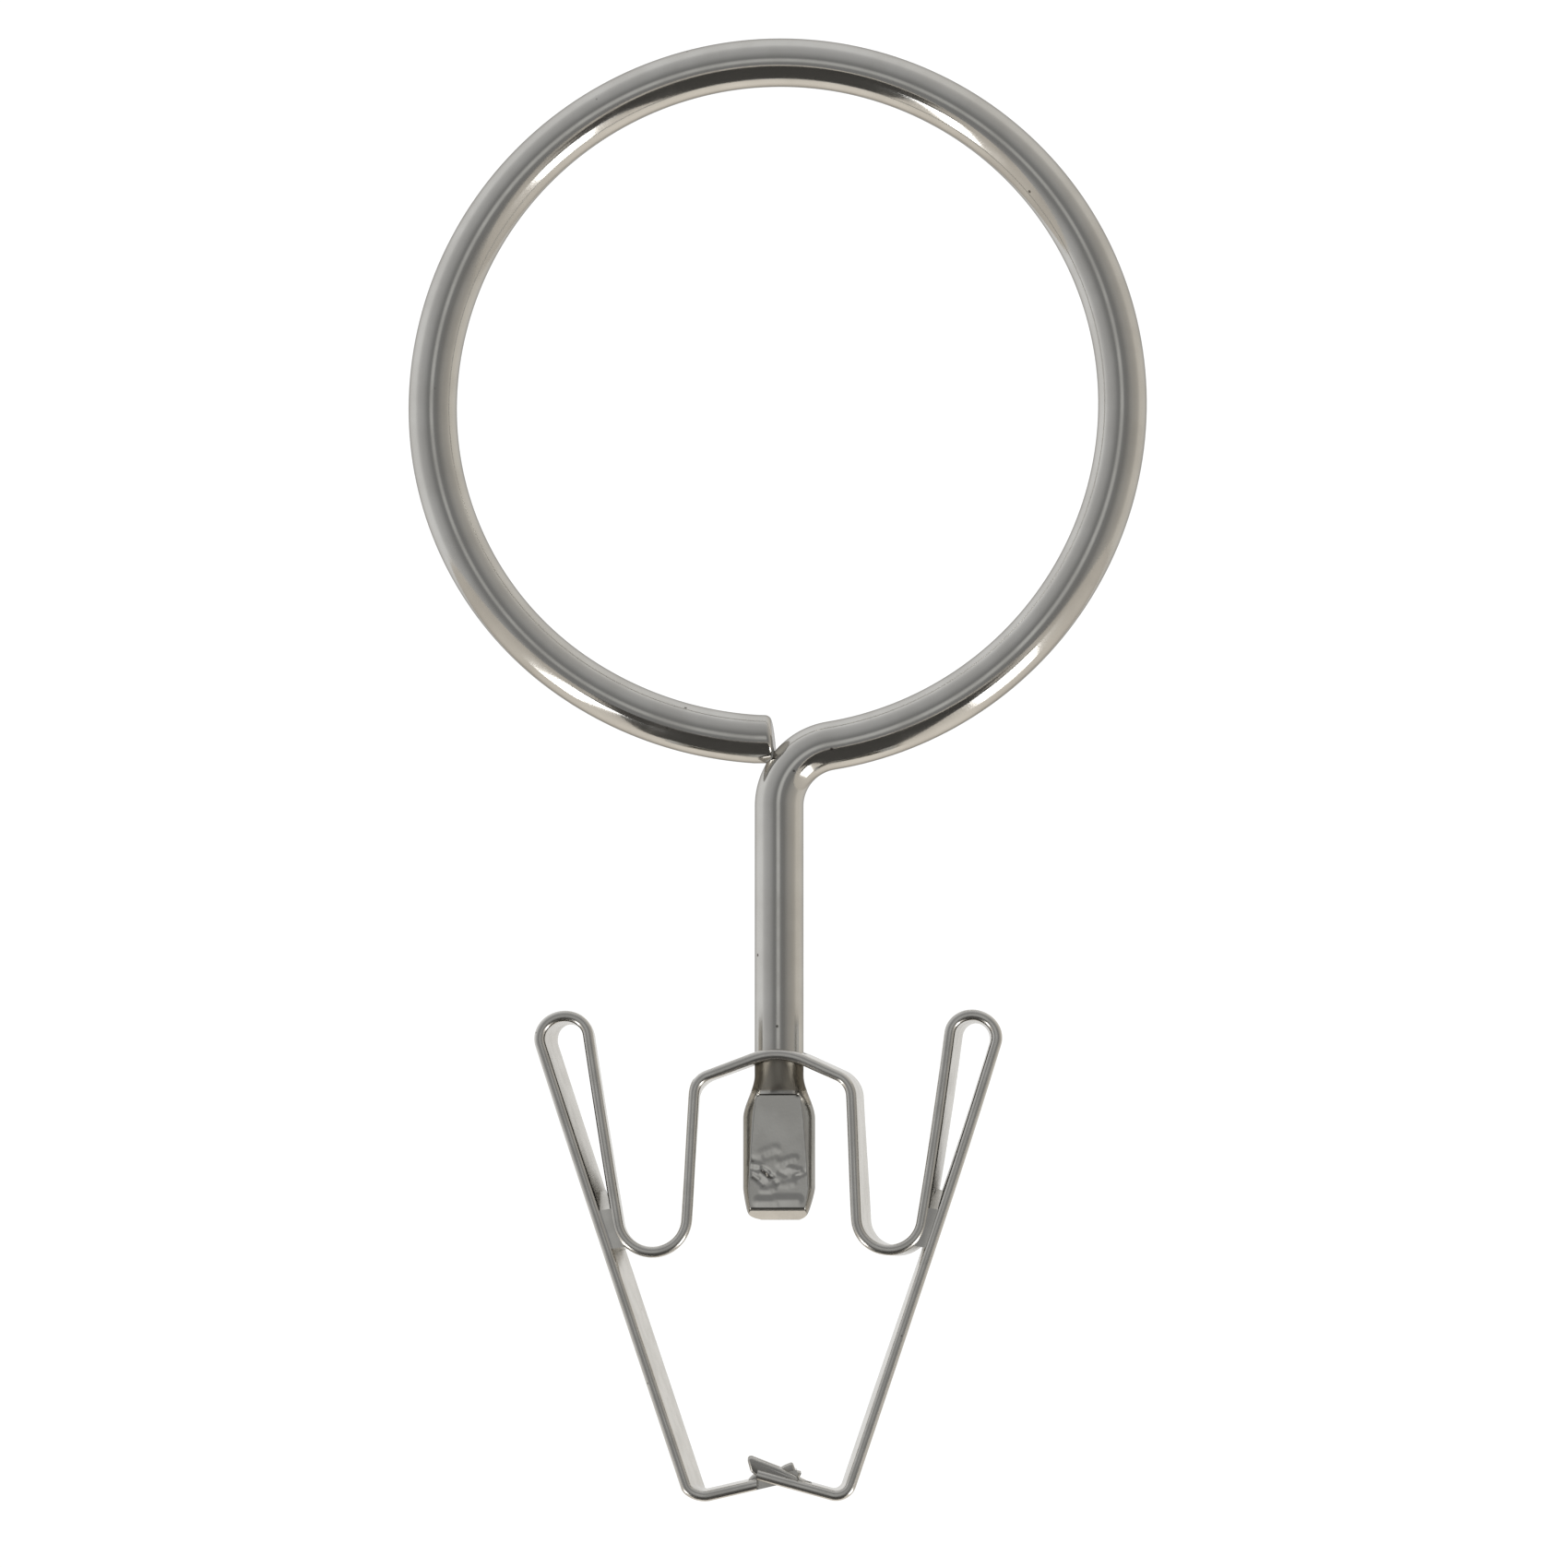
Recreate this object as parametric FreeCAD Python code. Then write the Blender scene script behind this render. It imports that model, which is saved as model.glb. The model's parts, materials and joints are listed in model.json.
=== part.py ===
import FreeCAD, Part
import math
import os

# Curtain ring with a spring clip, in millimetres.
# The origin is the middle of the ring, the curtain rod runs along Y through it,
# +Z is up and the front of the object faces -Y.

Vector = FreeCAD.Vector

# Ring, bend and stem, from one length of round wire
WIRE_DIAMETER = 3.0
RING_INNER_DIAMETER = 39.2
RING_TUCK = 0.5  # how much smaller the radius of the last quarter is, at the cut end
STEM_BEND_RADIUS = 3.75  # centre line of the bend from the ring into the stem
CUT_END_GAP = 0.12  # between the cut end and the bend beside it
CUT_END_ROUND = 0.5
STEM_LENGTH = 16.6  # straight round stretch below the bend

# Paddle, the stem's lower end pressed flat
NECK_LENGTH = 2.7  # from round wire to the full width
DIE_START = 0.3  # from the top of the neck to the upper edge of the press mark
DIE_RAMP = 0.9  # height of the slope from the round wire to the flat
PADDLE_LENGTH = 4.2  # stretch of full width
PADDLE_WIDTH = 4.42
PADDLE_FLAT_WIDTH = 3.3
PADDLE_THICKNESS = 1.6
PADDLE_CROWN = 0.04  # how far the middle of the flat stands above its edges
TOE_LENGTH = 1.95  # tapered stretch at the bottom
TOE_WIDTH = 2.9
TOE_FLAT_WIDTH = 2.2
TOE_THICKNESS = 0.8
TOE_BEVEL = 1.1  # height of the bevel from the full thickness to the toe's
TOE_CURVE = 1.7  # power of the taper: 1 is straight, more is rounder

# Clip, from one strip of spring steel, folded alike on both sides
STRIP_THICKNESS = 0.65
STRIP_WIDTH = 6.0
STRIP_EDGE_ROUND = 0.12
STEM_HOLE_CLEARANCE = 0.2  # radial, so that the clip turns on the stem
PEAK_ABOVE_NECK = 1.3  # from the top of the neck up to the middle of the strip's peak

# Bends of the clip. A radius is that of the strip's middle, and a place is that of
# the bend's centre, sideways from the stem and down from the peak
PEAK_RADIUS = 4.2
SHOULDER_RADIUS = 1.5
SHOULDER_OUT = 3.34
SHOULDER_DOWN = 2.68
CHANNEL_RADIUS = 2.15
CHANNEL_OUT = 7.42
CHANNEL_DOWN = 10.03
LOOP_RADIUS = 1.48
LOOP_ABOVE_PEAK = 0.85
ARM_LEAN = 18.6  # degrees from upright
ARM_GAP = 0.12  # between the arm and the channel that it presses on
FOOT_RADIUS = 0.9
FOOT_RISE = 14.0  # degrees from level
JAW_DOWN = 26.15  # from the peak to where the two feet cross

# Jaws: the right foot ends in a fork and the left one in a tongue between its prongs,
# both with upturned ears along their edges. Lengths are from where the feet cross,
# and heights are above the strip
JAW_CLEARANCE = 0.15  # sideways, between the ears of the two jaws
JAW_ROOM = 0.5  # from the tip of one jaw to the end of the other's cut-out
EAR_ROOT = 1.4
EAR_ROOT_SLOPE = 0.45
EAR_ROOT_HEIGHT = 0.32
FORK_EAR_REACH = 1.55
FORK_EAR_HEIGHT = 0.6
FORK_FOOT_REACH = 0.45
TONGUE_EAR_REACH = 1.2
TONGUE_EAR_HEIGHT = 0.3
TONGUE_FOOT_REACH = 1.5

# Number of slices in the shaped stretches of the paddle
NECK_SLICES = 9
TOE_SLICES = 7

SAME_PLACE = 1e-4  # points this close are one point
ROUND_LIMIT = 0.8  # largest share of half the strip's thickness that its edge rounding takes

WIRE_RADIUS = WIRE_DIAMETER / 2
RING_RADIUS = RING_INNER_DIAMETER / 2 + WIRE_RADIUS
HALF_STRIP = STRIP_THICKNESS / 2
HALF_WIDTH = STRIP_WIDTH / 2

# The bend touches the ring's circle from outside and the stem's line from the right
STEM_BEND_CENTRE = Vector(
    STEM_BEND_RADIUS,
    0,
    -math.sqrt((RING_RADIUS + STEM_BEND_RADIUS) ** 2 - STEM_BEND_RADIUS ** 2),
)
NECK_TOP = STEM_BEND_CENTRE.z - STEM_LENGTH
PEAK = NECK_TOP + PEAK_ABOVE_NECK
JAW_HEIGHT = PEAK - JAW_DOWN


def lerp(first, last, share):
    """Value that lies a share of the way from the first to the last."""
    return first + (last - first) * share


def smooth_share(share):
    """Share of a change that starts and ends gently, held between 0 and 1."""
    held = min(max(share, 0.0), 1.0)
    return held * held * (3 - 2 * held)


def wire_arc(centre, radius, start, sweep):
    """Round wire bent about a centre, with both angles in degrees from +X to +Z."""
    angle = math.radians(start)
    outward = Vector(math.cos(angle), 0, math.sin(angle))
    along = Vector(-math.sin(angle), 0, math.cos(angle))
    circle = Part.makeCircle(WIRE_RADIUS, centre + outward * radius, along)
    return Part.Face(Part.Wire(circle)).revolve(centre, Vector(0, -1, 0), sweep)


def cut_end_angle(centre, radius):
    """Angle in degrees left of the bottom at which the rounded cut end clears the bend."""
    across = STEM_BEND_CENTRE - centre
    bend_angle = math.atan2(across.x, -across.z)
    round_place = radius + WIRE_RADIUS - CUT_END_ROUND
    clear = STEM_BEND_RADIUS + WIRE_RADIUS + CUT_END_GAP + CUT_END_ROUND
    opposite = round_place ** 2 + across.Length ** 2 - clear ** 2
    round_angle = math.acos(opposite / (2 * round_place * across.Length)) - bend_angle
    return math.degrees(round_angle - math.asin(CUT_END_ROUND / round_place))


def tucked_quarter():
    """Last quarter of the ring, from its left side to the rounded cut end."""
    centre = Vector(-RING_TUCK, 0, 0)
    radius = RING_RADIUS - RING_TUCK
    sweep = 90 - cut_end_angle(centre, radius)
    quarter = wire_arc(centre, radius, 180, sweep)
    end = math.radians(180 + sweep)
    end_middle = centre + Vector(math.cos(end), 0, math.sin(end)) * radius
    rims = [edge for edge in quarter.Edges if edge.CenterOfMass.isEqual(end_middle, SAME_PLACE)]
    return quarter.makeFillet(CUT_END_ROUND, rims)


def flat_section(height, half_width, half_flat, half_edge, half_middle):
    """Closed section of the paddle: two nearly flat faces and two rounded sides."""
    front_left = Vector(-half_flat, -half_edge, height)
    front_right = Vector(half_flat, -half_edge, height)
    back_right = Vector(half_flat, half_edge, height)
    back_left = Vector(-half_flat, half_edge, height)
    arcs = [
        Part.Arc(front_left, Vector(0, -half_middle, height), front_right),
        Part.Arc(front_right, Vector(half_width, 0, height), back_right),
        Part.Arc(back_right, Vector(0, half_middle, height), back_left),
        Part.Arc(back_left, Vector(-half_width, 0, height), front_left),
    ]
    return Part.Wire([arc.toShape() for arc in arcs])


def neck_section(depth):
    """Section at a depth below the top of the neck, where the round wire widens and is pressed."""
    round_side = WIRE_RADIUS * math.sqrt(0.5)
    half_paddle = PADDLE_THICKNESS / 2
    widened = smooth_share(depth / NECK_LENGTH)
    pressed = smooth_share((depth - DIE_START) / DIE_RAMP)
    return flat_section(
        NECK_TOP - depth,
        lerp(WIRE_RADIUS, PADDLE_WIDTH / 2, widened),
        lerp(round_side, PADDLE_FLAT_WIDTH / 2, widened),
        lerp(round_side, half_paddle - PADDLE_CROWN, pressed),
        lerp(WIRE_RADIUS, half_paddle, pressed),
    )


def toe_section(depth):
    """Section at a depth below the full width, where the toe tapers and is bevelled."""
    tapered = (depth / TOE_LENGTH) ** TOE_CURVE
    bevelled = max(0.0, 1 - (TOE_LENGTH - depth) / TOE_BEVEL)
    half_thickness = lerp(PADDLE_THICKNESS, TOE_THICKNESS, bevelled) / 2
    return flat_section(
        NECK_TOP - NECK_LENGTH - PADDLE_LENGTH - depth,
        lerp(PADDLE_WIDTH, TOE_WIDTH, tapered) / 2,
        lerp(PADDLE_FLAT_WIDTH, TOE_FLAT_WIDTH, tapered) / 2,
        half_thickness - PADDLE_CROWN,
        half_thickness,
    )


def paddle():
    """Pressed end of the stem, from the round neck to the bevelled toe."""
    neck = [neck_section(NECK_LENGTH * index / NECK_SLICES) for index in range(NECK_SLICES + 1)]
    toe = [toe_section(TOE_LENGTH * index / TOE_SLICES) for index in range(TOE_SLICES + 1)]
    return Part.makeLoft(neck + toe, True, True)


def ring_wire():
    """Ring, bend, stem and paddle as the one wire that they are."""
    bend_angle = math.degrees(math.asin(STEM_BEND_RADIUS / (RING_RADIUS + STEM_BEND_RADIUS)))
    ring = wire_arc(Vector(0, 0, 0), RING_RADIUS, bend_angle - 90, 270 - bend_angle)
    bend = wire_arc(STEM_BEND_CENTRE, STEM_BEND_RADIUS, 90 + bend_angle, 90 - bend_angle)
    stem = Part.makeCylinder(WIRE_RADIUS, STEM_LENGTH, Vector(0, 0, NECK_TOP))
    return ring.multiFuse([tucked_quarter(), bend, stem, paddle()]).removeSplitter()


def clip_bends():
    """Bends of the clip's right side in order, each as its centre and its signed radius.

    A bend to the left is positive. The arm leans on the channel with its gap, and the
    loop and the foot's bend lie on the arm's inner side.
    """
    lean = math.radians(ARM_LEAN)
    rise = math.radians(FOOT_RISE)
    channel = Vector(CHANNEL_OUT, 0, PEAK - CHANNEL_DOWN)
    arm_offset = channel.x * math.cos(lean) - channel.z * math.sin(lean)
    arm_offset += CHANNEL_RADIUS + STRIP_THICKNESS + ARM_GAP
    loop_height = PEAK + LOOP_ABOVE_PEAK
    loop_out = (arm_offset - LOOP_RADIUS + loop_height * math.sin(lean)) / math.cos(lean)
    foot_arm = arm_offset - FOOT_RADIUS
    foot_level = JAW_HEIGHT * math.cos(rise) + FOOT_RADIUS
    spread = math.cos(lean - rise)
    foot = Vector(
        (foot_arm * math.cos(rise) + foot_level * math.sin(lean)) / spread,
        0,
        (foot_level * math.cos(lean) - foot_arm * math.sin(rise)) / spread,
    )
    return [
        (Vector(0, 0, PEAK - PEAK_RADIUS), -PEAK_RADIUS),
        (Vector(SHOULDER_OUT, 0, PEAK - SHOULDER_DOWN), -SHOULDER_RADIUS),
        (channel, CHANNEL_RADIUS),
        (Vector(loop_out, 0, loop_height), -LOOP_RADIUS),
        (foot, -FOOT_RADIUS),
    ]


def straight_normals(bends):
    """Left-hand normals of the straight stretches between bends, from the peak to the foot."""
    normals = [Vector(0, 0, 1)]
    for (first, first_radius), (last, last_radius) in zip(bends, bends[1:]):
        across = last - first
        turn = math.asin((last_radius - first_radius) / across.Length)
        angle = math.atan2(across.z, across.x) - turn
        normals.append(Vector(-math.sin(angle), 0, math.cos(angle)))
    rise = math.radians(FOOT_RISE)
    normals.append(Vector(-math.sin(rise), 0, -math.cos(rise)))
    return normals


def middle_normal(first, last, radius):
    """Normal half way round a bend, turned the way that the bend turns."""
    turn = math.atan2(first.x * last.z - first.z * last.x, first.dot(last))
    if turn * radius < 0:
        turn += math.copysign(2 * math.pi, radius)
    angle = math.atan2(first.z, first.x) + turn / 2
    return Vector(math.cos(angle), 0, math.sin(angle))


def strip_side(offset, foot_end):
    """Edges along one face of the right half strip, from the peak to the foot's end."""
    bends = clip_bends()
    normals = straight_normals(bends)
    edges = []
    last_point = None
    for (centre, radius), first, last in zip(bends, normals, normals[1:]):
        turned = (first, middle_normal(first, last, radius), last)
        points = [centre + normal * (offset - radius) for normal in turned]
        if last_point:
            edges.append(Part.LineSegment(last_point, points[0]).toShape())
        edges.append(Part.Arc(*points).toShape())
        last_point = points[2]
    edges.append(Part.LineSegment(last_point, foot_end + normals[-1] * offset).toShape())
    return edges


def foot_point(along, above):
    """Point on the right foot, along it from the middle of the clip and above its middle face."""
    rise = math.radians(FOOT_RISE)
    forward = Vector(-math.cos(rise), 0, math.sin(rise))
    upward = Vector(math.sin(rise), 0, math.cos(rise))
    return Vector(0, 0, JAW_HEIGHT) + forward * along + upward * above


def half_strip(foot_reach):
    """Right half of the folded strip at full width, from the peak to the foot's end."""
    foot_end = foot_point(foot_reach, 0)
    outer = strip_side(HALF_STRIP, foot_end)
    inner = strip_side(-HALF_STRIP, foot_end)
    ends = []
    for side in (0, -1):
        points = [edges[side].Vertexes[side].Point for edges in (outer, inner)]
        ends.append(Part.LineSegment(*points).toShape())
    outline = Part.Wire(Part.__sortEdges__(outer + inner + ends))
    strip = Part.Face(outline).extrude(Vector(0, STRIP_WIDTH, 0))
    strip.translate(Vector(0, -HALF_WIDTH, 0))
    return strip


def rounded_strip(foot_reach):
    """Half strip with its long edges rounded, apart from the end at the peak."""
    strip = half_strip(foot_reach)
    long_edges = []
    for edge in strip.Edges:
        points = [vertex.Point for vertex in edge.Vertexes]
        on_side = all(abs(abs(point.y) - HALF_WIDTH) < SAME_PLACE for point in points)
        at_peak = all(abs(point.x) < SAME_PLACE for point in points)
        if on_side and not at_peak:
            long_edges.append(edge)
    return strip.makeFillet(min(STRIP_EDGE_ROUND, HALF_STRIP * ROUND_LIMIT), long_edges)


def ears(outer_face, ear_reach, ear_height, foot_reach):
    """Pair of upturned ears on the right foot, whose outer faces lie this far from the middle."""
    root = -EAR_ROOT - EAR_ROOT_SLOPE
    outline = [
        foot_point(root, -HALF_STRIP),
        foot_point(root, HALF_STRIP),
        foot_point(-EAR_ROOT, HALF_STRIP + EAR_ROOT_HEIGHT),
        foot_point(ear_reach, HALF_STRIP + ear_height),
        foot_point(foot_reach, -HALF_STRIP),
    ]
    face = Part.Face(Part.makePolygon(outline + outline[:1]))
    ear = face.extrude(Vector(0, STRIP_THICKNESS, 0))
    places = (-outer_face, outer_face - STRIP_THICKNESS)
    return [ear.translated(Vector(0, place, 0)) for place in places]


def jaw_slab(cut_out, low_side, high_side):
    """Block that cuts a jaw between two places across the strip."""
    low = Vector(-cut_out, low_side, JAW_HEIGHT - cut_out)
    return Part.makeBox(2 * cut_out, high_side - low_side, 2 * cut_out, low)


def fork_half():
    """Right half, of whose jaw only the two eared edges reach past the middle."""
    cut_out = max(TONGUE_EAR_REACH, TONGUE_FOOT_REACH) + JAW_ROOM
    prong_inner = HALF_WIDTH - STRIP_THICKNESS
    slot = jaw_slab(cut_out, -prong_inner, prong_inner)
    prongs = ears(HALF_WIDTH, FORK_EAR_REACH, FORK_EAR_HEIGHT, FORK_FOOT_REACH)
    return rounded_strip(FORK_FOOT_REACH).cut(slot).multiFuse(prongs)


def tongue_half():
    """Left half, whose jaw is narrow enough to pass between the prongs."""
    cut_out = max(FORK_EAR_REACH, FORK_FOOT_REACH) + JAW_ROOM
    tongue_side = HALF_WIDTH - STRIP_THICKNESS - JAW_CLEARANCE
    margins = [
        jaw_slab(cut_out, tongue_side, STRIP_WIDTH),
        jaw_slab(cut_out, -STRIP_WIDTH, -tongue_side),
    ]
    edges = ears(tongue_side, TONGUE_EAR_REACH, TONGUE_EAR_HEIGHT, TONGUE_FOOT_REACH)
    tongue = rounded_strip(TONGUE_FOOT_REACH).cut(margins).multiFuse(edges)
    return tongue.mirror(Vector(0, 0, 0), Vector(1, 0, 0))


def spring_clip():
    """Folded clip with the stem's hole through its roof."""
    hole_radius = WIRE_RADIUS + STEM_HOLE_CLEARANCE
    hole = Part.makeCylinder(hole_radius, 2 * SHOULDER_DOWN, Vector(0, 0, PEAK - SHOULDER_DOWN))
    return fork_half().fuse(tongue_half()).cut(hole).removeSplitter()


os.makedirs("parts", exist_ok=True)
ring_wire().exportStep("parts/ring_wire.step")
spring_clip().exportStep("parts/spring_clip.step")
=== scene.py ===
"""Curtain ring with a spring clip, in satin nickel plate, hanging in front of white.

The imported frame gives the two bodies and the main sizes. Both pieces are modelled again
around it with finer surfaces: the bent wire with its pressed paddle, and the folded strip
with its eared jaws. Lengths are in metres, +Z is up and the front faces -Y.
"""

import json
import logging
import math
from bisect import bisect_left
from dataclasses import dataclass
from enum import Enum
from typing import Callable

import bmesh
import bpy
from mathutils import Matrix, Vector
from mathutils.kdtree import KDTree


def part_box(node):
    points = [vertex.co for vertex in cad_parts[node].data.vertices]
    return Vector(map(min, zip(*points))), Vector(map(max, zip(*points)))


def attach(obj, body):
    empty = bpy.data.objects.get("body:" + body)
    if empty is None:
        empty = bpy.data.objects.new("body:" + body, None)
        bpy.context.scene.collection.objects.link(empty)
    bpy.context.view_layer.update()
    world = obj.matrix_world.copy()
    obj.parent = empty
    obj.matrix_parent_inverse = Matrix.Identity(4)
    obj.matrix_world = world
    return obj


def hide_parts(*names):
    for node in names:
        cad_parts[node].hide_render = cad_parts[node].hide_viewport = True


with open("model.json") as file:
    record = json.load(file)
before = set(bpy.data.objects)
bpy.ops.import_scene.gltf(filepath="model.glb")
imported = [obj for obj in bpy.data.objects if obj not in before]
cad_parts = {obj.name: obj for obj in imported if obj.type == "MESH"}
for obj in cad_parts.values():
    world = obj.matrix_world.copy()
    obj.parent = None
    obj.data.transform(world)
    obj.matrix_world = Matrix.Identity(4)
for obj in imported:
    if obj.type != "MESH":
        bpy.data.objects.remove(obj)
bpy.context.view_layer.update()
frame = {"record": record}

LOG = logging.getLogger("curtain_ring")
MM = 0.001
SAME_PLACE = 0.002 * MM
Colour = tuple[float, float, float]
Stops = tuple[tuple[float, Colour], ...]


class Side(Enum):
    """Half of the clip, with the sign of its x."""

    RIGHT = 1.0
    LEFT = -1.0


class Face(Enum):
    """Front or back of a piece, with the sign of its y."""

    FRONT = -1.0
    BACK = 1.0


def lerp(first: float, last: float, share: float) -> float:
    """Value that lies a share of the way from the first to the last."""
    return first + (last - first) * share


def held(share: float) -> float:
    """Share held between 0 and 1."""
    return min(max(share, 0.0), 1.0)


def smooth(share: float) -> float:
    """Share of a change that starts and ends gently."""
    part = held(share)
    return part * part * (3.0 - 2.0 * part)


def spot(out: float, up: float) -> Vector:
    """Point in the plane of the ring, from its distance to the right and its height."""
    return Vector((out, 0.0, up))


def begin_piece(name: str) -> bpy.types.Object:
    """Names the primitive that was just added and opens it for shaping.

    Args:
        name: Name of the piece.

    Returns:
        The piece's object, with its place in its mesh and edit mode on.
    """
    piece = bpy.context.object
    piece.name = name
    piece.data.name = name
    bpy.ops.object.transform_apply(location=True, rotation=True, scale=True)
    bpy.ops.object.mode_set(mode="EDIT")
    bpy.ops.mesh.select_mode(type="VERT")
    bpy.ops.mesh.select_all(action="SELECT")
    return piece


def end_piece(angle: float) -> None:
    """Merges doubles, turns the faces outwards and shades the open piece smooth.

    Args:
        angle: Degrees above which an edge stays sharp.
    """
    bpy.ops.mesh.select_all(action="SELECT")
    bpy.ops.mesh.remove_doubles(threshold=SAME_PLACE)
    bpy.ops.mesh.normals_make_consistent(inside=False)
    bpy.ops.object.mode_set(mode="OBJECT")
    bpy.ops.object.shade_smooth_by_angle(angle=math.radians(angle))


def select_points(test: Callable[[Vector], bool]) -> None:
    """Selects the points of the open piece that pass a test of their place."""
    mesh = bpy.context.edit_object.data
    bpy.ops.mesh.select_all(action="DESELECT")
    points = bmesh.from_edit_mesh(mesh)
    for point in points.verts:
        point.select_set(test(point.co))
    points.select_flush(True)
    bmesh.update_edit_mesh(mesh)


def extrude(step: Vector) -> None:
    """Extrudes what is selected on the open piece and moves it by a step."""
    bpy.ops.mesh.extrude_region_move(TRANSFORM_OT_translate={"value": step})


def pick_object(piece: bpy.types.Object) -> None:
    """Makes one object the only selected and the active one."""
    bpy.ops.object.select_all(action="DESELECT")
    piece.select_set(True)
    bpy.context.view_layer.objects.active = piece


def cut_or_join(piece: bpy.types.Object, tool: bpy.types.Object, operation: str) -> None:
    """Cuts a piece with a tool or joins the tool to it, and removes the tool.

    Args:
        piece: Piece that is kept.
        tool: Closed shape.
        operation: DIFFERENCE or UNION.
    """
    pick_object(piece)
    bpy.ops.object.modifier_add(type="BOOLEAN")
    step = piece.modifiers[-1]
    step.operation = operation
    step.solver = "EXACT"
    step.object = tool
    bpy.ops.object.modifier_apply(modifier=step.name)
    bpy.data.objects.remove(tool)


class Walker:
    """Carries the selected end of an open tube along a path in the plane of the ring."""

    def __init__(self, place: Vector, heading: float) -> None:
        """Starts at a place.

        Args:
            place: Middle of the selected loop.
            heading: Direction of the path in degrees, from +X towards +Z.
        """
        self.place = place.copy()
        self.heading = heading
        self.path = [place.copy()]

    def ahead(self) -> Vector:
        """Direction in which the path goes on."""
        angle = math.radians(self.heading)
        return spot(math.cos(angle), math.sin(angle))

    def forward(self, length: float, rows: int) -> None:
        """Extrudes a straight stretch.

        Args:
            length: Length of the stretch.
            rows: Number of rows of faces.
        """
        step = self.ahead() * (length / rows)
        for _ in range(rows):
            extrude(step)
            self.place += step
            self.path.append(self.place.copy())

    def swing(self, centre: Vector, sweep: float, steps: int) -> None:
        """Spins the end about a centre line that runs from front to back.

        Args:
            centre: Centre of the bend.
            sweep: Degrees to turn, positive from +X towards +Z.
            steps: Number of rows of faces.
        """
        angle = math.radians(sweep)
        bpy.ops.mesh.spin(steps=steps, angle=angle, center=centre, axis=(0.0, 1.0, 0.0))
        first = self.place - centre
        for step in range(1, steps + 1):
            self.place = centre + Matrix.Rotation(-angle * step / steps, 3, "Y") @ first
            self.path.append(self.place.copy())
        self.heading += sweep

    def round_off(self, size: float, radius: float, rows: int) -> None:
        """Closes the end with a rounded rim and a flat face.

        Args:
            size: Half size of the end.
            radius: Radius of the rim.
            rows: Number of rows of faces round the rim.
        """
        last_depth = 0.0
        last_size = size
        for row in range(1, rows + 1):
            angle = 0.5 * math.pi * row / rows
            depth = radius * math.sin(angle)
            new_size = size - radius * (1.0 - math.cos(angle))
            step = self.ahead() * (depth - last_depth)
            extrude(step)
            self.place += step
            share = new_size / last_size
            bpy.ops.transform.resize(value=(share, share, share), center_override=self.place)
            last_depth = depth
            last_size = new_size
        bpy.ops.mesh.edge_face_add()


@dataclass
class Crease:
    """Mark that the press left in the paddle, as a line with a soft edge.

    A place is in millimetres to the right of the stem and below the top of the neck. A
    positive depth goes into the metal.
    """

    start: tuple[float, float]
    end: tuple[float, float]
    depth: float
    width: float


PADDLE_CREASES = (
    Crease((-0.45, 0.75), (0.35, 0.50), -0.010, 0.36),
    Crease((-0.20, 0.98), (0.70, 0.90), 0.006, 0.28),
    Crease((0.95, 1.16), (1.20, 1.20), -0.030, 0.20),
    Crease((-1.07, 4.83), (-0.16, 4.49), 0.009, 0.40),
    Crease((-0.75, 5.02), (-0.10, 4.82), -0.009, 0.34),
    Crease((-1.58, 5.12), (-1.50, 5.22), -0.016, 0.22),
    Crease((-1.72, 5.46), (-1.07, 5.60), 0.013, 0.30),
    Crease((-1.72, 5.70), (-1.21, 5.80), -0.014, 0.26),
    Crease((-0.96, 5.74), (-0.62, 5.98), -0.030, 0.20),
    Crease((-0.58, 6.06), (-0.39, 6.22), -0.030, 0.20),
    Crease((-1.12, 5.98), (-0.66, 6.36), 0.019, 0.22),
    Crease((-1.58, 6.14), (-1.22, 6.42), -0.028, 0.20),
    Crease((-1.14, 6.52), (-0.90, 6.73), -0.019, 0.17),
    Crease((-0.20, 6.52), (-0.10, 6.64), -0.020, 0.18),
    Crease((0.07, 5.40), (1.09, 5.06), 0.014, 0.32),
    Crease((0.63, 5.68), (1.43, 5.94), 0.016, 0.28),
    Crease((1.03, 6.20), (1.58, 5.97), -0.020, 0.24),
    Crease((0.10, 5.95), (0.40, 6.10), -0.013, 0.22),
    Crease((-0.95, 7.10), (-0.30, 6.98), 0.010, 0.28),
    Crease((0.20, 6.75), (0.90, 6.62), 0.009, 0.32),
    Crease((-1.20, 7.76), (1.20, 7.62), 0.023, 0.46),
)


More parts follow.
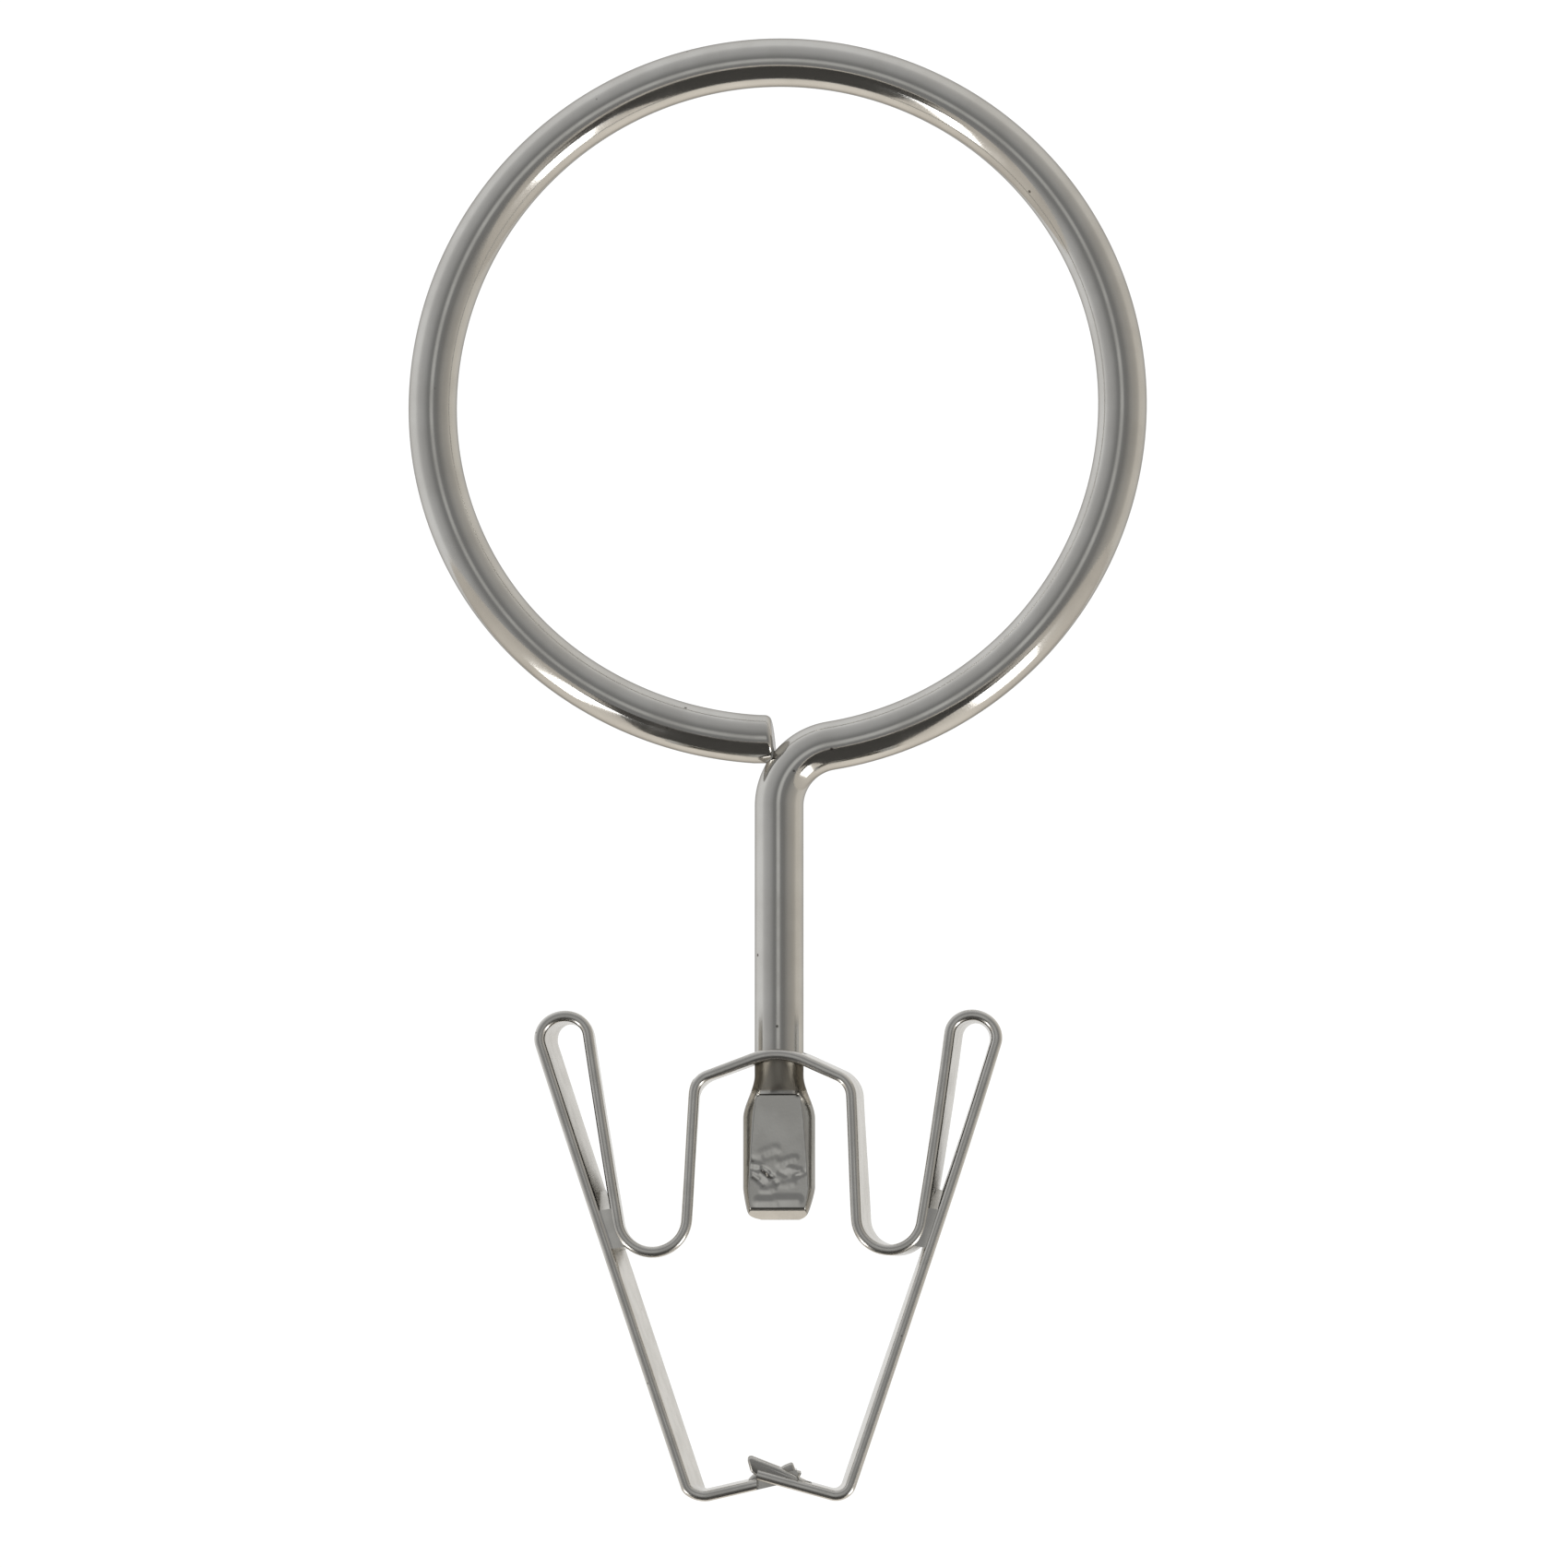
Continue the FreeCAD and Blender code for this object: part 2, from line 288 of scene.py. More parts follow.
@dataclass
class RingWire:
    """Ring, reversed bend, stem and pressed paddle, from one length of round wire."""

    wire_radius: float
    ring_radius: float
    toe_bottom: float
    ring_growth: float = 0.22 * MM
    ring_out: float = -0.17 * MM
    ring_up: float = 0.1 * MM
    tuck: float = 1.06 * MM
    tail_turn: float = 55.0
    tail_growth: float = 2.3 * MM
    bend_radius: float = 3.75 * MM
    end_reach: float = -0.92 * MM
    end_lean: float = 9.0
    end_round: float = 0.42 * MM
    neck_length: float = 2.7 * MM
    press_above: float = 1.2 * MM
    press_edge: float = 1.2 * MM
    press_grip: float = 480.0
    press_power: float = 4.0
    press_taper: float = 0.045
    press_middle: float = 4.2 * MM
    paddle_length: float = 4.2 * MM
    paddle_width: float = 4.42 * MM
    squeezed_height: float = 2.42 * MM
    paddle_thickness: float = 1.6 * MM
    toe_length: float = 1.95 * MM
    toe_left_taper: float = 0.36 * MM
    toe_right_taper: float = 0.56 * MM
    toe_left_corner: float = 0.75 * MM
    toe_right_corner: float = 0.4 * MM
    toe_curve: float = 1.3
    corner_curve: float = 13.0
    toe_chamfer: float = 0.64 * MM
    toe_front: float = -0.24 * MM
    toe_back: float = 0.6 * MM
    crease_reach: float = 0.045 * MM
    crease_face: float = 0.3 * MM
    sides: int = 192
    row_height: float = 0.085 * MM
    stem_rows: int = 40
    bend_steps: int = 36
    ring_steps: int = 170
    tail_steps: int = 24
    rim_rows: int = 7
    sharp_angle: float = 50.0

    @classmethod
    def from_frame(cls) -> "RingWire":
        """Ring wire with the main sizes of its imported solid."""
        low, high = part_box("ring_wire")
        return cls(wire_radius=high.y, ring_radius=high.x - high.y, toe_bottom=low.z)

    @property
    def neck_top(self) -> float:
        """Height at which the wire begins to widen."""
        return self.toe_bottom + self.toe_length + self.paddle_length + self.neck_length

    @property
    def press_top(self) -> float:
        """Height at which the die begins to press the wire."""
        return self.neck_top + self.press_above

    def build(self) -> bpy.types.Object:
        """Models the wire from the paddle up to the cut end.

        Returns:
            The finished mesh object.
        """
        bpy.ops.mesh.primitive_circle_add(
            vertices=self.sides, radius=self.wire_radius, location=(0.0, 0.0, self.press_top)
        )
        piece = begin_piece("ring_wire_plated")
        self.press_paddle()
        for crease in PADDLE_CREASES:
            self.press_crease(crease)
        self.bend_ring()
        end_piece(angle=self.sharp_angle)
        return piece

    def press_paddle(self) -> None:
        """Draws the round end down row by row, presses every row flat and closes the toe."""
        length = self.press_top - self.toe_bottom
        rows = round(length / self.row_height)
        for _ in range(rows):
            extrude(spot(0.0, -length / rows))
        bpy.ops.mesh.edge_face_add()
        for row in range(1, rows + 1):
            self.press_row(length * row / rows - self.press_above)

    def press_row(self, depth: float) -> None:
        """Widens one row of the paddle and presses its two faces.

        Args:
            depth: Distance of the row below the top of the neck.
        """
        height = self.neck_top - depth
        middle = (0.0, 0.0, height)
        widened = smooth(depth / self.neck_length)
        squeezed = lerp(1.0, self.squeezed_height / (2.0 * self.wire_radius), widened)
        toe_share = max(0.0, depth - self.neck_length - self.paddle_length) / self.toe_length
        taper = toe_share ** self.toe_curve
        corner = toe_share ** self.corner_curve
        left = self.toe_left_taper * taper + self.toe_left_corner * corner
        right = self.toe_right_taper * taper + self.toe_right_corner * corner
        for sign, lost in ((-1.0, left), (1.0, right)):
            wide = lerp(1.0, (self.paddle_width / 2.0 - lost) / self.wire_radius, widened)
            select_points(
                lambda place: abs(place.z - height) < SAME_PLACE and place.x * sign > 0.0
            )
            bpy.ops.transform.resize(value=(wide, 1.0, 1.0), center_override=middle)
        select_points(lambda place: abs(place.z - height) < SAME_PLACE)
        bpy.ops.transform.resize(value=(1.0, squeezed, 1.0), center_override=middle)
        if depth < self.press_edge:
            self.ease_row(depth)
            return
        for face in Face:
            limit = self.pressed_half(depth, face)
            select_points(
                lambda place: abs(place.z - height) < SAME_PLACE and place.y * face.value > limit
            )
            plane = (0.0, face.value * limit, height)
            bpy.ops.transform.resize(value=(1.0, 0.0, 1.0), center_override=plane)

    def ease_row(self, depth: float) -> None:
        """Flattens one row of the neck softly, so that it leads into the paddle.

        Args:
            depth: Distance of the row below the top of the neck.
        """
        share = held((depth + self.press_above) / (self.press_edge + self.press_above))
        grip = self.press_grip * math.sqrt(share)
        mesh = bpy.context.edit_object.data
        points = bmesh.from_edit_mesh(mesh)
        for point in points.verts:
            if abs(point.co.z - self.neck_top + depth) < SAME_PLACE:
                pressed = 1.0 + (abs(point.co.y) * grip) ** self.press_power
                point.co.y /= pressed ** (1.0 / self.press_power)
        bmesh.update_edit_mesh(mesh)

    def pressed_half(self, depth: float, face: Face) -> float:
        """Distance of a pressed face from the middle of the wire.

        Args:
            depth: Distance below the top of the neck.
            face: Front or back.

        Returns:
            The distance, which falls along the paddle and again in the toe's chamfer.
        """
        half = self.paddle_thickness / 2.0 + self.press_taper * (self.press_middle - depth)
        above_end = self.neck_top - depth - self.toe_bottom
        cut = held(1.0 - above_end / self.toe_chamfer)
        toe_half = self.toe_front if face is Face.FRONT else self.toe_back
        return lerp(half, toe_half, cut)

    def press_crease(self, crease: Crease) -> None:
        """Pushes one mark into the front of the paddle.

        Args:
            crease: Place, depth and width of the mark.
        """
        first = spot(crease.start[0] * MM, self.neck_top - crease.start[1] * MM)
        last = spot(crease.end[0] * MM, self.neck_top - crease.end[1] * MM)
        along = last - first

        def on_line(place: Vector) -> bool:
            """Tells whether a point of the front lies on the mark's line."""
            if place.y > -self.crease_face:
                return False
            flat = spot(place.x, place.z)
            share = held((flat - first).dot(along) / along.length_squared)
            return (flat - first - along * share).length < self.crease_reach

        select_points(on_line)
        bpy.ops.transform.translate(
            value=(0.0, crease.depth * MM, 0.0),
            use_proportional_edit=True,
            proportional_edit_falloff="SMOOTH",
            proportional_size=crease.width * MM,
        )

    def bend_ring(self) -> None:
        """Draws the stem up from the neck, bends it and rolls the ring to its cut end."""
        radius = self.ring_radius + self.ring_growth
        ring = spot(self.ring_out, self.ring_up)
        reach = radius + self.bend_radius
        across = self.bend_radius - ring.x
        bend = spot(self.bend_radius, ring.z - math.sqrt(reach ** 2 - across ** 2))
        contact = math.degrees(math.atan2(bend.z - ring.z, across))
        select_points(lambda place: abs(place.z - self.press_top) < SAME_PLACE)
        walker = Walker(spot(0.0, self.press_top), 90.0)
        walker.forward(bend.z - self.press_top, self.stem_rows)
        walker.swing(bend, contact, self.bend_steps)
        walker.swing(ring, 180.0 - contact, self.ring_steps)
        tucked = ring - spot(self.tuck, 0.0)
        walker.swing(tucked, self.tail_turn, self.bend_steps)
        tail = tucked + (tucked - walker.place).normalized() * self.tail_growth
        tail_radius = radius - self.tuck + self.tail_growth
        tail_end = math.degrees(math.acos((tail.x - self.end_reach) / tail_radius))
        walker.swing(tail, tail_end - self.tail_turn, self.tail_steps)
        rim = walker.place + spot(0.0, self.wire_radius)
        bpy.ops.transform.rotate(
            value=math.radians(self.end_lean), orient_axis="Y", center_override=rim
        )
        walker.round_off(self.wire_radius, self.end_round, self.rim_rows)

    def dress(self, piece: bpy.types.Object, material: bpy.types.Material) -> None:
        """Gives the wire its finish and its place in the frame.

        Args:
            piece: The wire's mesh object.
            material: Its finish.
        """
        piece.data.materials.append(material)
        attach(piece, "ring")
        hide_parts("ring_wire")


@dataclass
class Bend:
    """Bend of the strip: its centre, and its radius with a plus for a turn to the left."""

    centre: Vector
    radius: float
    steps: int


@dataclass
class Fold:
    """What differs between the two halves of the clip, as the strip was folded.

    The yaws are the degrees about the upright by which the strip is turned at the end of
    each bend and of each straight stretch, in order from the peak.
    """

    side: Side
    shoulder_out: float
    channel_out: float
    channel_radius: float
    loop_radius: float
    arm_gap: float
    arm_lean: float
    top_bow: float
    foot_rise: float
    jaw_shift: float
    yaws: tuple[float, ...]


FOLDS = (
    Fold(
        side=Side.RIGHT,
        shoulder_out=3.16 * MM,
        channel_out=7.0 * MM,
        channel_radius=1.98 * MM,
        loop_radius=1.3 * MM,
        arm_gap=0.03 * MM,
        arm_lean=18.85,
        top_bow=0.26 * MM,
        foot_rise=15.2,
        jaw_shift=-0.12 * MM,
        yaws=(0.0, 0.0, -1.0, -2.5, -1.5, -2.0, 4.0, 6.0, 5.0, 4.6),
    ),
    Fold(
        side=Side.LEFT,
        shoulder_out=3.72 * MM,
        channel_out=7.78 * MM,
        channel_radius=2.1 * MM,
        loop_radius=1.33 * MM,
        arm_gap=0.12 * MM,
        arm_lean=18.6,
        top_bow=0.1 * MM,
        foot_rise=12.9,
        jaw_shift=0.12 * MM,
        yaws=(0.0, 1.5, 4.5, 5.5, 4.3, 4.6, -2.5, -3.0, 4.3, 4.3),
    ),
)
# Corners of the ears, in millimetres along the foot and above its middle
FORK_EAR = (
    (-1.85, -0.325), (-1.85, 0.325), (-1.30, 0.45), (-0.60, 0.60), (-0.05, 0.72),
    (1.92, 0.925), (2.10, 0.74), (1.70, 0.06), (1.10, -0.19), (0.75, -0.325),
)
TONGUE_EAR = (
    (-1.85, -0.325), (-1.80, 0.30), (-1.52, 0.50), (-1.20, 0.64), (0.05, 0.52),
    (0.62, 0.70), (1.14, 0.78), (1.22, 0.26), (1.58, 0.08), (1.20, -0.325),
)


@dataclass
class SpringClip:
    """Folded strip of spring steel with a hole for the stem and two interlocking jaws."""

    top: float
    strip_width: float
    peak: float
    stem_radius: float
    thickness: float = 0.65 * MM
    edge_round: float = 0.27 * MM
    hole_clearance: float = 0.2 * MM
    peak_radius: float = 4.2 * MM
    shoulder_radius: float = 1.5 * MM
    shoulder_down: float = 2.68 * MM
    roof_pitch: float = 1.9
    roof_reach: float = 1.3
    channel_down: float = 10.0 * MM
    loop_sink: float = 0.08 * MM
    foot_radius: float = 0.9 * MM
    foot_reach: float = 1.3 * MM
    jaw_down: float = 25.9 * MM
    jaw_clearance: float = 0.15 * MM
    ear_round: float = 0.14 * MM
    jaw_round: float = 0.06 * MM
    fork_cut: float = 2.1 * MM
    tongue_cut: float = 1.25 * MM
    bridge_up: float = 0.45 * MM
    bridge_ridge: float = 0.5 * MM
    bridge_slope: float = 0.75 * MM
    bridge_bead: float = 0.09 * MM
    bridge_back: float = 0.14 * MM
    bridge_length: float = 3.2 * MM
    ear_inset: float = 0.2 * MM
    ear_lean: float = 0.12
    row_length: float = 0.3 * MM
    fewest_rows: int = 4
    edge_segments: int = 8
    ear_segments: int = 5
    jaw_segments: int = 3
    width_cuts: int = 11
    drill_sides: int = 96
    sharp_angle: float = 40.0
    jaw_angle: float = 50.0

    @classmethod
    def from_frame(cls, wire: RingWire) -> "SpringClip":
        """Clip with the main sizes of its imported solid, hung on the wire.

        Args:
            wire: The wire that passes through the clip's roof.

        Returns:
            The clip.
        """
        low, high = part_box("spring_clip")
        joint = frame["record"]["behaviour"]["joints"][0]
        return cls(
            top=high.z,
            strip_width=high.y - low.y,
            peak=joint["pos_m"][2],
            stem_radius=wire.wire_radius,
        )

    def bends(self, fold: Fold) -> list[Bend]:
        """Bends of one half in order, as if it were the right one.

        Args:
            fold: What is special to the half.

        Returns:
            The bends from the peak to the foot.
        """
        lean = math.radians(fold.arm_lean)
        rise = math.radians(fold.foot_rise)
        channel = self.channel_centre(fold)
        arm_offset = channel.x * math.cos(lean) - channel.z * math.sin(lean)
        arm_offset += fold.channel_radius + self.thickness + fold.arm_gap
        loop_height = self.top - self.loop_sink - fold.loop_radius - self.thickness / 2.0
        loop_out = (arm_offset - fold.loop_radius + loop_height * math.sin(lean)) / math.cos(lean)
        foot_arm = arm_offset - self.foot_radius
        jaw = self.jaw_point(fold)
        foot_level = jaw.x * math.sin(rise) + jaw.z * math.cos(rise) + self.foot_radius
        spread = math.cos(lean - rise)
        shoulder = spot(fold.shoulder_out, self.peak - self.shoulder_down)
        foot = spot(
            (foot_arm * math.cos(rise) + foot_level * math.sin(lean)) / spread,
            (foot_level * math.cos(lean) - foot_arm * math.sin(rise)) / spread,
        )
        return [
            Bend(spot(0.0, self.peak - self.peak_radius), -self.peak_radius, steps=10),
            Bend(shoulder, -self.shoulder_radius, steps=14),
            Bend(channel, fold.channel_radius, steps=32),
            Bend(spot(loop_out, loop_height), -fold.loop_radius, steps=36),
            Bend(foot, -self.foot_radius, steps=16),
        ]

    def channel_centre(self, fold: Fold) -> Vector:
        """Centre of the U bend beside the arm, as the right half sees it."""
        return spot(fold.channel_out, self.peak - self.channel_down)

    def jaw_point(self, fold: Fold) -> Vector:
        """Place where the two feet cross, as the right half sees it."""
        return spot(fold.jaw_shift, self.peak - self.jaw_down)

    def headings(self, bends: list[Bend], fold: Fold) -> list[float]:
        """Directions of the straight stretches after each bend.

        Args:
            bends: Bends of the half.
            fold: What is special to the half.

        Returns:
            The directions in degrees, from +X towards +Z.
        """
        found = []
        for first, last in zip(bends, bends[1:]):
            across = last.centre - first.centre
            turn = math.asin((last.radius - first.radius) / across.length)
            found.append(math.degrees(math.atan2(across.z, across.x) - turn))
        found.append(180.0 - fold.foot_rise)
        return found

    def build(self) -> bpy.types.Object:
        """Models both halves, joins them at the peak and drills the roof.

        Returns:
            The finished mesh object.
        """
        halves = [self.build_half(fold) for fold in FOLDS]
        piece = halves[0]
        pick_object(piece)
        halves[1].select_set(True)
        bpy.ops.object.join()
        bpy.ops.object.mode_set(mode="EDIT")
        end_piece(angle=self.sharp_angle)
        self.pitch_roof(piece)
        self.drill_roof(piece)
        pick_object(piece)
        bpy.ops.object.modifier_add(type="WEIGHTED_NORMAL")
        piece.modifiers[-1].keep_sharp = True
        bpy.ops.object.modifier_apply(modifier=piece.modifiers[-1].name)
        piece.name = "spring_clip_plated"
        piece.data.name = piece.name
        return piece

    def build_half(self, fold: Fold) -> bpy.types.Object:
        """Models one half of the clip with its jaw.

        Args:
            fold: What is special to the half.

        Returns:
            The half's mesh object, on its own side.
        """
        piece = self.start_section(fold)
        bends = self.bends(fold)
        walker = Walker(spot(0.0, self.peak), 0.0)
        marks = [0]
        for place, (bend, heading) in enumerate(zip(bends, self.headings(bends, fold))):
            hand = math.copysign(1.0, bend.radius)
            turn = hand * ((hand * (heading - walker.heading)) % 360.0)
            walker.swing(bend.centre, turn, bend.steps)
            marks.append(len(walker.path) - 1)
            if place + 1 < len(bends):
                following = bends[place + 1]
                across = following.centre - bend.centre
                gap = across.length_squared - (following.radius - bend.radius) ** 2
                length = math.sqrt(gap)
            else:
                length = (self.jaw_point(fold) - walker.place).length + self.foot_reach
            walker.forward(length, max(self.fewest_rows, round(length / self.row_length)))
            marks.append(len(walker.path) - 1)
        bpy.ops.mesh.edge_face_add()
        end_piece(angle=self.sharp_angle)
        self.bridge_contact(piece, fold)
        self.shape_jaw(piece, fold)
        self.twist_strip(piece, fold, walker.path, marks)
        self.bow_top(piece, fold)
        if fold.side is Side.LEFT:
            pick_object(piece)
            bpy.ops.object.mode_set(mode="EDIT")
            bpy.ops.mesh.select_all(action="SELECT")
            bpy.ops.transform.resize(value=(-1.0, 1.0, 1.0), center_override=(0.0, 0.0, 0.0))
            bpy.ops.mesh.flip_normals()
            bpy.ops.object.mode_set(mode="OBJECT")
        return piece

    def twist_strip(
        self, piece: bpy.types.Object, fold: Fold, path: list[Vector], marks: list[int]
    ) -> None:
        """Turns every row of the strip a little about the upright, as the folding left it.

        Args:
            piece: The half's object.
            fold: What is special to the half.
            path: Middles of the rows.
            marks: Rows at the start and at the ends of the bends and stretches.
        """
        yaws = (0.0, *fold.yaws)
        turns = []
        for row in range(len(path)):
            stretch = max(0, min(bisect_left(marks, row), len(marks) - 1) - 1)
            first, last = marks[stretch], marks[stretch + 1]
            share = smooth((row - first) / (last - first))
            turns.append(fold.side.value * lerp(yaws[stretch], yaws[stretch + 1], share))
        finder = KDTree(len(path))
        for row, place in enumerate(path):
            finder.insert(place, row)
        finder.balance()
        for point in piece.data.vertices:
            flat = spot(point.co.x, point.co.z)
            nearest = finder.find_n(flat, 2)
            weights = [1.0 / max(distance, SAME_PLACE) for _, _, distance in nearest]
            turn = sum(turns[row] * weight for (_, row, _), weight in zip(nearest, weights))
            turned = Matrix.Rotation(math.radians(turn / sum(weights)), 3, "Z")
            middle = nearest[0][0]
            point.co = middle + turned @ (point.co - middle)

    def bridge_contact(self, piece: bpy.types.Object, fold: Fold) -> None:
        """Closes the narrow gap where the arm touches the channel, as the plating did.

        The fill's top falls from a ridge to the front and the back, and each of these two
        faces has a low bead down its middle.

        Args:
            piece: The half's object.
            fold: What is special to the half.
        """
        lean = math.radians(fold.arm_lean)
        sideways = spot(math.cos(lean), -math.sin(lean))
        along = spot(math.sin(lean), math.cos(lean))
        out = fold.channel_radius + (self.thickness + fold.arm_gap) / 2.0
        place = self.channel_centre(fold) + sideways * out + along * self.bridge_up
        width = self.strip_width - 2.0 * self.bridge_back
        bpy.ops.object.select_all(action="DESELECT")
        bpy.ops.mesh.primitive_cube_add(size=1.0, location=place)
        bridge = begin_piece("fold_bridge")
        size = (self.thickness, width, self.bridge_length)
        bpy.ops.transform.resize(value=size, center_override=place)
        bpy.ops.transform.rotate(value=-lean, orient_axis="Y", center_override=place)

        def is_upper(point: Vector) -> bool:
            """Tells whether a point lies in the upper half of the fill."""
            return (point - place).dot(along) > 0.0

        def is_bead(point: Vector, face: Face) -> bool:
            """Tells whether a point lies on the middle line of the fill's front or back."""
            on_face = point.y * face.value > width / 2.0 - SAME_PLACE
            return on_face and abs((point - place).dot(sideways)) < SAME_PLACE

        bpy.ops.mesh.bisect(plane_co=place, plane_no=(0.0, 1.0, 0.0))
        select_points(is_upper)
        bpy.ops.transform.translate(value=along * -self.bridge_slope)
        select_points(lambda point: is_upper(point) and abs(point.y) < SAME_PLACE)
        bpy.ops.transform.translate(value=along * (self.bridge_slope + self.bridge_ridge))
        bpy.ops.mesh.select_all(action="SELECT")
        bpy.ops.mesh.bisect(plane_co=place, plane_no=sideways)
        for face in Face:
            select_points(lambda point: is_bead(point, face))
            bpy.ops.transform.translate(value=(0.0, face.value * self.bridge_bead, 0.0))
        bpy.ops.object.mode_set(mode="OBJECT")
        cut_or_join(piece, bridge, "UNION")

    def bow_top(self, piece: bpy.types.Object, fold: Fold) -> None:
        """Leans the finger loop a little inwards, the more the higher up.

        Args:
            piece: The half's object.
            fold: What is special to the half.
        """
        channel = self.channel_centre(fold)
        for point in piece.data.vertices:
            if point.co.x > channel.x and point.co.z > channel.z:
                share = (point.co.z - channel.z) / (self.top - channel.z)
                point.co.x -= fold.top_bow * share ** 2

    def start_section(self, fold: Fold) -> bpy.types.Object:
        """Makes the strip's rounded section, upright at the peak.

        Args:
            fold: What is special to the half.

        Returns:
            The half's object, in edit mode with the section's loop selected.
        """
        bpy.ops.object.select_all(action="DESELECT")
        bpy.ops.mesh.primitive_plane_add(size=1.0)
        piece = begin_piece("clip_half_" + fold.side.name.lower())
        bpy.ops.transform.resize(value=(self.thickness, self.strip_width, 1.0))
        bpy.ops.mesh.bevel(
            offset=self.edge_round,
            offset_type="OFFSET",
            segments=self.edge_segments,
            profile=0.5,
            affect="VERTICES",
        )
        bpy.ops.mesh.select_all(action="SELECT")
        bpy.ops.mesh.delete(type="ONLY_FACE")
        flat_end = self.strip_width / 2.0 - self.edge_round
        bpy.ops.mesh.select_mode(type="EDGE")
        mesh = piece.data
        section = bmesh.from_edit_mesh(mesh)
        for edge in section.edges:
            edge.select_set(edge.calc_length() > flat_end)
        bmesh.update_edit_mesh(mesh)
        bpy.ops.mesh.subdivide(number_cuts=self.width_cuts)
        bpy.ops.mesh.select_mode(type="VERT")
        bpy.ops.mesh.select_all(action="SELECT")
        bpy.ops.transform.rotate(
            value=math.radians(90.0), orient_axis="Y", center_override=(0.0, 0.0, 0.0)
        )
        bpy.ops.transform.translate(value=(0.0, 0.0, self.peak))
        return piece

    def jaw_place(self, fold: Fold, along: float, above: float) -> Vector:
        """Point on the foot of the right half.

        Args:
            fold: What is special to the half.
            along: Distance past the place where the feet cross, towards the tip.
            above: Height above the middle of the strip.

        Returns:
            The point in the plane of the ring.
        """
        rise = math.radians(fold.foot_rise)
        forward = spot(-math.cos(rise), math.sin(rise))
        upward = spot(math.sin(rise), math.cos(rise))
        return self.jaw_point(fold) + forward * along + upward * above

    def shape_jaw(self, piece: bpy.types.Object, fold: Fold) -> None:
        """Cuts the jaw to a fork or a tongue and gives it its two ears.

        Args:
            piece: The half's object.
            fold: What is special to the half.
        """
        half_width = self.strip_width / 2.0
        prong_inner = half_width - self.thickness
        if fold.side is Side.RIGHT:
            self.cut_block(piece, fold, self.fork_cut, (-prong_inner, prong_inner))
            ear_outer = half_width
            outline = FORK_EAR
        else:
            ear_outer = prong_inner - self.jaw_clearance
            self.cut_block(piece, fold, self.tongue_cut, (ear_outer, self.strip_width))
            self.cut_block(piece, fold, self.tongue_cut, (-self.strip_width, -ear_outer))
            outline = TONGUE_EAR
        for sign in (-1.0, 1.0):
            ear = self.build_ear(fold, outline, sign * ear_outer)
            cut_or_join(piece, ear, "UNION")
        pick_object(piece)
        bpy.ops.object.modifier_add(type="BEVEL")
        soft = piece.modifiers[-1]
        soft.limit_method = "ANGLE"
        soft.angle_limit = math.radians(self.jaw_angle)
        soft.width = self.jaw_round
        soft.segments = self.jaw_segments
        bpy.ops.object.modifier_apply(modifier=soft.name)

    def cut_block(
        self, piece: bpy.types.Object, fold: Fold, reach: float, across: tuple[float, float]
    ) -> None:
        """Cuts a block out of the jaw.

        Args:
            piece: The half's object.
            fold: What is special to the half.
            reach: Half length of the block along the foot.
            across: Where the block begins and ends across the strip.
        """
        place = self.jaw_point(fold) + Vector((0.0, (across[0] + across[1]) / 2.0, 0.0))
        bpy.ops.object.select_all(action="DESELECT")
        bpy.ops.mesh.primitive_cube_add(size=1.0, location=place)
        block = begin_piece("jaw_block")
        size = (2.0 * reach, across[1] - across[0], 2.0 * reach)
        bpy.ops.transform.resize(value=size, center_override=place)
        bpy.ops.object.mode_set(mode="OBJECT")
        cut_or_join(piece, block, "DIFFERENCE")

    def build_ear(
        self, fold: Fold, outline: tuple[tuple[float, float], ...], outer: float
    ) -> bpy.types.Object:
        """Makes one upturned ear, bent up with a round lower edge.

        Args:
            fold: What is special to the half.
            outline: Corners, in millimetres along the foot and above its middle.
            outer: Place of the ear's outer face across the strip.

        Returns:
            The ear's object.
        """
        outward = math.copysign(1.0, outer)
        bpy.ops.object.select_all(action="DESELECT")
        bpy.ops.mesh.primitive_circle_add(
            vertices=len(outline), radius=self.thickness, fill_type="NGON"
        )
        ear = begin_piece("jaw_ear")
        sheet = bmesh.from_edit_mesh(ear.data)
        for point, (along, above) in zip(sheet.verts, outline):
            point.co = self.jaw_place(fold, along * MM, above * MM)
            point.co.y = outer - outward * (self.ear_inset - self.ear_lean * above * MM)
        bmesh.update_edit_mesh(ear.data)
        extrude(Vector((0.0, -outward * (self.thickness - self.ear_inset), 0.0)))
        bpy.ops.mesh.select_all(action="SELECT")
        bpy.ops.mesh.normals_make_consistent(inside=False)
        bpy.ops.mesh.bevel(
            offset=self.ear_round,
            offset_type="OFFSET",
            segments=self.ear_segments,
            profile=0.5,
            affect="EDGES",
        )
        end_piece(angle=self.sharp_angle)
        return ear

    def pitch_roof(self, piece: bpy.types.Object) -> None:
        """Tips the roof a little forwards, as the folding left it.

        Args:
            piece: The clip's object.
        """
        low = self.peak - self.roof_reach * self.shoulder_down
        inner = min(fold.channel_out - fold.channel_radius for fold in FOLDS)
        slope = math.tan(math.radians(self.roof_pitch))
        for point in piece.data.vertices:
            if abs(point.co.x) < inner and point.co.z > low:
                point.co.z += point.co.y * slope * smooth((point.co.z - low) / self.shoulder_down)

    def drill_roof(self, piece: bpy.types.Object) -> None:
        """Drills the hole that the stem passes through.

        Args:
            piece: The clip's object.
        """
        radius = self.stem_radius + self.hole_clearance
        bpy.ops.object.select_all(action="DESELECT")
        depth = 2.0 * self.shoulder_down
        bpy.ops.mesh.primitive_cylinder_add(
            vertices=self.drill_sides, radius=radius, depth=depth, location=spot(0.0, self.peak)
        )
        drill = begin_piece("roof_drill")
        bpy.ops.object.mode_set(mode="OBJECT")
        cut_or_join(piece, drill, "DIFFERENCE")

